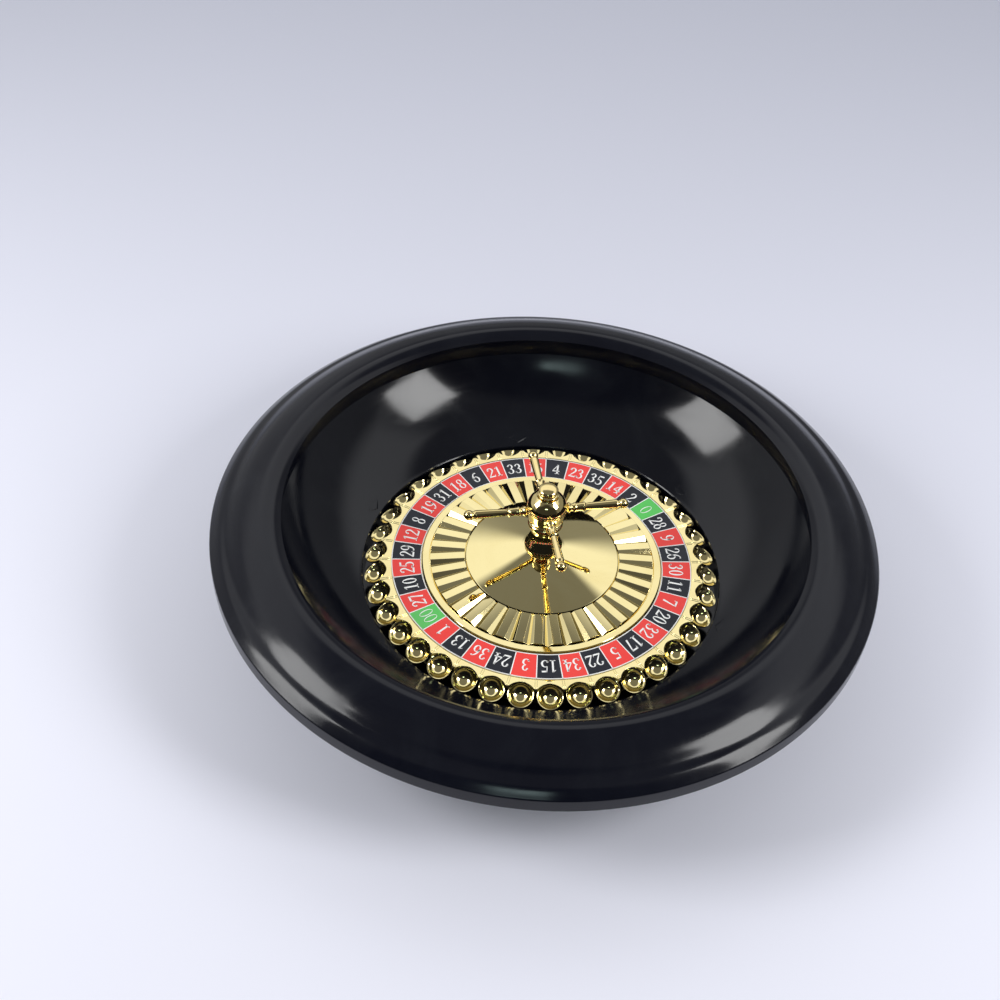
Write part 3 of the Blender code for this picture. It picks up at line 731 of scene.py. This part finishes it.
for side, height in ((1, 34.6), (-1, 32.4)):
    edge_loop = [edge for edge in flutes.edges if edge.is_boundary
                 and (edge.verts[0].co.xy.length < 60) == (side > 0)]
    skirt = bmesh.ops.extrude_edge_only(flutes, edges=edge_loop)["geom"]
    for part in skirt:
        if isinstance(part, bmesh.types.BMVert):
            part.co.z = height
bmesh.ops.recalc_face_normals(flutes, faces=flutes.faces)
folds = [edge for edge in flutes.edges
         if len(edge.link_faces) == 2 and edge.calc_face_angle() > math.radians(12)]
bmesh.ops.bevel(flutes, geom=folds, offset=0.13, offset_type='OFFSET', segments=2, profile=0.5,
                affect='EDGES', clamp_overlap=True, material=-1)
fit_piece(flutes, "flutes", "rotor", [gold_plate], sharp=34)


# Centre cone. A shallow mirror-plated cone that hides the hub: its foot laps over the flutes'
# inner ends, and the turret stands on its small flat top.
cone_outline = [(8.2, 36.0), (8.2, 48.2), (11.5, 48.2), (12.6, 47.9), (14.0, 47.4),
                (CONE_RADIUS - 0.6, 38.78), (CONE_RADIUS - 0.1, 38.5), (CONE_RADIUS, 38.2),
                (CONE_RADIUS, 36.0), (20.0, 43.4), (16.5, 43.6), (16.5, 36.0)]
cone = turn(cone_outline, 288)
fit_piece(cone, "mirror_cone", "rotor", [gold_plate], ["centre_cone"], sharp=20)


# Turret. Turned and plated: a flanged, waisted column, a round bulb between beads, and a small
# flattened knob on top. It is a warmer gold than the mouldings.

turret_gold = moulded_finish("turret_gold", (0.93, 0.76, 0.36), (0.88, 0.69, 0.29), 0.04, 0.09,
                             metallic=1.0, wave=0.01, rings=2400.0, dust=0.2)

column_outline = [(0.0, 48.5), (11.2, 48.5), (11.6, 48.7), (11.8, 49.3), (11.8, 50.5),
                  (11.4, 51.2)]
column_outline += curve_through([(11.1, 51.6), (10.2, 54.0), (9.0, 57.4), (8.3, 60.5),
                                 (8.25, 63.0), (9.0, 65.6), (9.6, 66.5)], 5)
column_outline += [(10.0, 66.7), (10.6, 67.2), (10.8, 67.9), (10.8, 69.0), (10.5, 69.7),
                   (10.0, 70.1), (9.7, 70.4), (9.7, 71.0), (0.0, 71.0)]
column = turn(column_outline, 128)
fit_piece(column, "column", "rotor", [turret_gold], ["turret_column"], sharp=50)

bulb_outline = [(0.0, 71.3), (10.2, 71.3)] + arc(10.2, 72.0, 0.7, -80, 80, 6)
bulb_outline += [(10.3, 72.9), (10.7, 73.4), (11.3, 76.5), (12.0, 80.6)]
bulb_outline += arc(11.9, 81.2, 0.55, -50, 60, 5) + arc(11.9, 82.5, 0.55, -60, 60, 5)
bulb_outline += curve_through([(12.1, 83.3), (11.9, 84.6), (11.0, 86.8), (9.4, 89.0),
                               (7.6, 90.6), (6.9, 91.1)], 5)
bulb_outline += [(6.5, 91.5), (6.4, 91.9), (0.0, 91.9)]
bulb = turn(bulb_outline, 128)
fit_piece(bulb, "bulb", "rotor", [turret_gold], ["turret_bulb"], sharp=50)

knob_outline = [(0.0, 92.2), (5.6, 92.2)] + arc(5.6, 92.8, 0.6, -70, 70, 6)
knob_outline += [(5.4, 93.6), (5.3, 94.2), (5.6, 95.0), (6.0, 95.7), (6.05, 96.3), (5.7, 96.9)]
knob_outline += curve_through([(5.2, 97.3), (4.6, 97.65), (3.6, 97.95), (2.2, 98.15),
                               (1.0, 98.24), (0.0, 98.27)], 3)[:-1] + [(0.0, 98.27)]
knob = turn(knob_outline, 96)
fit_piece(knob, "knob", "rotor", [turret_gold], ["turret_finial"], sharp=50)


# Arms. Four turned handles pressed into the bulb: two collars, a bead, a long taper and a small
# round end. The croupier flicks one of them to set the rotor going.
ARM_COUNT = 4
ARM_HEIGHT = 79.6
ARM_REACH = 51.0
ARM_START = math.radians(14.2)

arm_outline = [(0.0, 7.4), (2.1, 7.4), (2.2, 12.5), (2.9, 12.9), (3.25, 13.4), (3.25, 14.0),
               (2.9, 14.5), (2.45, 14.9), (2.35, 15.7), (2.45, 16.6), (2.95, 17.0), (3.1, 17.4),
               (2.9, 17.9), (2.62, 18.4), (2.55, 20.5), (2.62, 22.6), (2.95, 23.0), (3.1, 23.4),
               (2.8, 23.9), (2.1, 24.3), (2.02, 25.0), (2.2, 26.0), (2.5, 33.0), (2.86, 43.2),
               (2.8, 43.9), (2.3, 44.6), (2.15, 45.1), (2.5, 45.9)]
arm_outline += arc(0.0, ARM_REACH - 3.2, 3.2, -35, 88, 12) + [(0.0, ARM_REACH)]
for number in range(1, ARM_COUNT + 1):
    arm = turn(arm_outline, 48)
    seat = (Matrix.Translation((0, 0, ARM_HEIGHT))
            @ Matrix.Rotation(ARM_START + (number - 1) * math.pi / 2, 4, 'Z')
            @ Matrix.Rotation(math.pi / 2, 4, 'Y'))
    bmesh.ops.transform(arm, matrix=seat, verts=arm.verts)
    fit_piece(arm, f"arm_{number}", "rotor", [turret_gold],
              [f"turret_arm_{number}"], sharp=50)


# Studio. A wide pale table and a tent of card that is bright high on the far side, dimmer low
# down, and dark overhead and on the near side. Two soft boxes at the sides put the paired streaks
# on the gloss, and a small card in front lights the near rim.
table_top = bmesh.new()
bmesh.ops.create_grid(table_top, x_segments=8, y_segments=8, size=4.0)
table_mesh = bpy.data.meshes.new("table_top")
table_top.to_mesh(table_mesh)
table_top.free()
table = bpy.data.objects.new("table_top", table_mesh)
bpy.context.scene.collection.objects.link(table)
table_finish = bpy.data.materials.new("table_paper")
table_finish.use_nodes = True
paper = table_finish.node_tree
paper_shader = paper.nodes["Principled BSDF"]
paper_shader.inputs["Roughness"].default_value = 0.65
paper_shader.inputs["Specular IOR Level"].default_value = 0.2
paper_place = group_node(paper, 'ShaderNodeTexCoord', (-900, 0))
paper_grain = group_node(paper, 'ShaderNodeTexNoise', (-700, 0), Scale=6.0, Detail=4.0)
paper.links.new(paper_place.outputs["Object"], paper_grain.inputs["Vector"])
# Painted light falloff: the paper's colour is painted lighter towards the near side and a little
# darker and bluer towards the far side. Only the noise grain mixed into it is the paper's own.
paper_split = group_node(paper, 'ShaderNodeSeparateXYZ', (-700, -250))
paper.links.new(paper_place.outputs["Object"], paper_split.inputs[0])
painted_falloff = group_node(paper, 'ShaderNodeMapRange', (-500, -250), From_Min=-0.45, From_Max=1.0)
paper.links.new(paper_split.outputs["Y"], painted_falloff.inputs["Value"])
grain_and_painted_falloff = group_node(paper, 'ShaderNodeMath', (-400, 0), operation='MULTIPLY_ADD')
grain_and_painted_falloff.inputs[1].default_value = 0.15
paper.links.new(paper_grain.outputs["Fac"], grain_and_painted_falloff.inputs[0])
paper.links.new(painted_falloff.outputs[0], grain_and_painted_falloff.inputs[2])
paper_tone_with_painted_falloff = group_node(paper, 'ShaderNodeMix', (-200, 0), data_type='RGBA')
paper_tone_with_painted_falloff.inputs["A"].default_value = (0.84, 0.84, 0.93, 1)
paper_tone_with_painted_falloff.inputs["B"].default_value = (0.80, 0.82, 0.95, 1)
paper.links.new(grain_and_painted_falloff.outputs[0], paper_tone_with_painted_falloff.inputs["Factor"])
paper.links.new(paper_tone_with_painted_falloff.outputs["Result"], paper_shader.inputs["Base Color"])
table_mesh.materials.append(table_finish)

world = bpy.data.worlds.new("studio")
bpy.context.scene.world = world
world.use_nodes = True
sky = world.node_tree
for node in list(sky.nodes):
    sky.nodes.remove(node)


def sky_math(operation, *values):
    """One step of arithmetic on the direction of the studio's light."""
    node = group_node(sky, 'ShaderNodeMath', (0, 0), operation=operation)
    for socket, value in zip(node.inputs, values):
        if isinstance(value, (int, float)):
            socket.default_value = value
        else:
            sky.links.new(value, socket)
    return node.outputs[0]


def sky_step(value, low, high):
    """Goes smoothly from nothing at low to everything at high."""
    node = group_node(sky, 'ShaderNodeMapRange', (0, 0), From_Min=low, From_Max=high)
    node.interpolation_type = 'SMOOTHSTEP'
    sky.links.new(value, node.inputs["Value"])
    return node.outputs[0]


facing = group_node(sky, 'ShaderNodeTexCoord', (-900, 0))
split = group_node(sky, 'ShaderNodeSeparateXYZ', (-700, 0))
sky.links.new(facing.outputs["Generated"], split.inputs[0])
cap = sky_step(split.outputs["Z"], 0.80, 0.86)
behind = sky_step(split.outputs["Y"], 0.08, -0.2)
black = sky_step(split.outputs["Y"], -0.42, -0.56)
right = sky_step(split.outputs["X"], -0.5, -0.2)
low = sky_step(split.outputs["Z"], 0.60, 0.42)
dim = sky_math('MULTIPLY', low, sky_math('MULTIPLY_ADD', right, 0.3, 0.62))
shade = sky_math('MAXIMUM', sky_math('MAXIMUM', cap, behind), dim)
level = sky_math('MULTIPLY_ADD', shade, -0.9, 1.1)
level = sky_math('MULTIPLY', level, sky_math('MULTIPLY_ADD', black, -0.8, 1.0))
backdrop = group_node(sky, 'ShaderNodeBackground', (600, 0))
backdrop.inputs["Color"].default_value = (0.97, 0.98, 1.0, 1)
sky.links.new(level, backdrop.inputs["Strength"])
world_out = group_node(sky, 'ShaderNodeOutputWorld', (800, 0))
sky.links.new(backdrop.outputs[0], world_out.inputs["Surface"])


def soft_box(name, place, aim, size, power, colour=(1, 1, 1)):
    """A rectangular soft box that faces a point."""
    lamp = bpy.data.lights.new(name, 'AREA')
    lamp.shape = 'RECTANGLE'
    lamp.size, lamp.size_y = size
    lamp.energy = power
    lamp.color = colour
    item = bpy.data.objects.new(name, lamp)
    bpy.context.scene.collection.objects.link(item)
    toward = Vector(aim) - Vector(place)
    facing_it = toward.to_track_quat('-Z', 'Y').to_matrix().to_4x4()
    item.matrix_world = Matrix.Translation(place) @ facing_it


soft_box("left_box", (-1.04, -0.3, 0.78), (0, 0, 0.05), (0.5, 0.6), 9)
soft_box("right_box", (1.0, -0.36, 0.86), (0, 0, 0.05), (0.45, 0.6), 9)
soft_box("front_card", (0.0, -1.0, 0.88), (0, 0, 0.05), (0.3, 0.1), 0.45, (0.75, 1.0, 0.98))


# Camera. It looks down at the wheel from the front at about forty-five degrees.
camera_data = bpy.data.cameras.new("camera")
camera_data.sensor_width = 36.0
camera_data.lens = 51.39
camera = bpy.data.objects.new("camera", camera_data)
bpy.context.scene.collection.objects.link(camera)
look = Vector((-0.033128, 0.711216, -0.702193)).normalized()
side = Vector((0.994612, 0.092512, 0.046777))
side = (side - look * side.dot(look)).normalized()
over = side.cross(look)
camera.matrix_world = Matrix((
    (side.x, over.x, -look.x, 0.0), (side.y, over.y, -look.y, -0.61641),
    (side.z, over.z, -look.z, 0.69221), (0.0, 0.0, 0.0, 1.0)))
bpy.context.scene.camera = camera
bpy.context.scene.view_settings.view_transform = 'Standard'
bpy.context.scene.view_settings.look = 'None'
